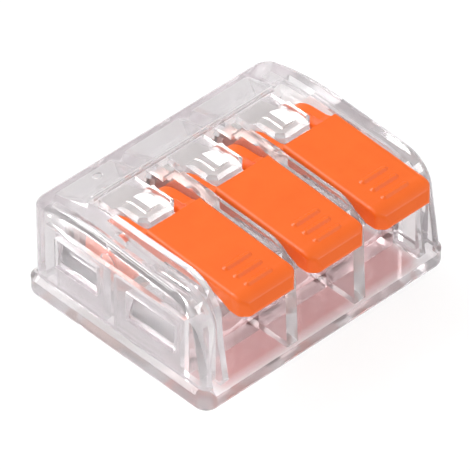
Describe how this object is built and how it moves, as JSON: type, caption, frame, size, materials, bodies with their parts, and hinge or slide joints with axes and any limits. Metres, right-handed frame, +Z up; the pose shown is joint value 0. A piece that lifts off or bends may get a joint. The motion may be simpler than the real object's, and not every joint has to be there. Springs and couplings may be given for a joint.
{
  "type": "lever wire connector",
  "caption": "Compact clear splicing connector: conductors push in at the front under hinged orange levers, and bent leaf springs clamp them on a shared current bar.",
  "frame": {"origin": "middle of the base's underside", "axes": "+X along the row of wire ways, -Y towards the side where the wires enter, +Z up"},
  "size_m": [0.02, 0.0169, 0.0086],
  "materials": {
    "clear_housing": "clear polycarbonate, polished",
    "clear_base": "clear polycarbonate, faintly rose",
    "orange_plastic": "moulded, satin gloss",
    "spring_steel": "rolled strip",
    "tinned_copper": "thinly tinned copper"
  },
  "bodies": {
    "shell": {"housing": "clear_housing", "base": "clear_base", "current_bar": "tinned_copper", "clamp_spring_1": "spring_steel", "clamp_spring_2": "spring_steel", "clamp_spring_3": "spring_steel"},
    "lever_1": {"lever_1": "orange_plastic"},
    "leg_1": {"clamp_leg_1": "spring_steel"},
    "lever_2": {"lever_2": "orange_plastic"},
    "leg_2": {"clamp_leg_2": "spring_steel"},
    "lever_3": {"lever_3": "orange_plastic"},
    "leg_3": {"clamp_leg_3": "spring_steel"}
  },
  "joints": [
    {"name": "lever_1_open", "type": "hinge", "parent": "shell", "child": "lever_1", "pos_m": [-0.0056, 0.00145, 0.00575], "axis": [-1, 0, 0], "range_deg": [0, 90]},
    {"name": "leg_1_flex", "type": "hinge", "parent": "shell", "child": "leg_1", "pos_m": [-0.0056, -0.00135, 0.00625], "axis": [1, 0, 0], "range_deg": [0, 35]},
    {"name": "lever_2_open", "type": "hinge", "parent": "shell", "child": "lever_2", "pos_m": [0, 0.00145, 0.00575], "axis": [-1, 0, 0], "range_deg": [0, 90]},
    {"name": "leg_2_flex", "type": "hinge", "parent": "shell", "child": "leg_2", "pos_m": [0, -0.00135, 0.00625], "axis": [1, 0, 0], "range_deg": [0, 35]},
    {"name": "lever_3_open", "type": "hinge", "parent": "shell", "child": "lever_3", "pos_m": [0.0056, 0.00145, 0.00575], "axis": [-1, 0, 0], "range_deg": [0, 90]},
    {"name": "leg_3_flex", "type": "hinge", "parent": "shell", "child": "leg_3", "pos_m": [0.0056, -0.00135, 0.00625], "axis": [1, 0, 0], "range_deg": [0, 35]}
  ],
  "couplings": [
    {"joint": "leg_1_flex", "follows": "lever_1_open", "ratio": 0.38},
    {"joint": "leg_2_flex", "follows": "lever_2_open", "ratio": 0.38},
    {"joint": "leg_3_flex", "follows": "lever_3_open", "ratio": 0.38}
  ]
}
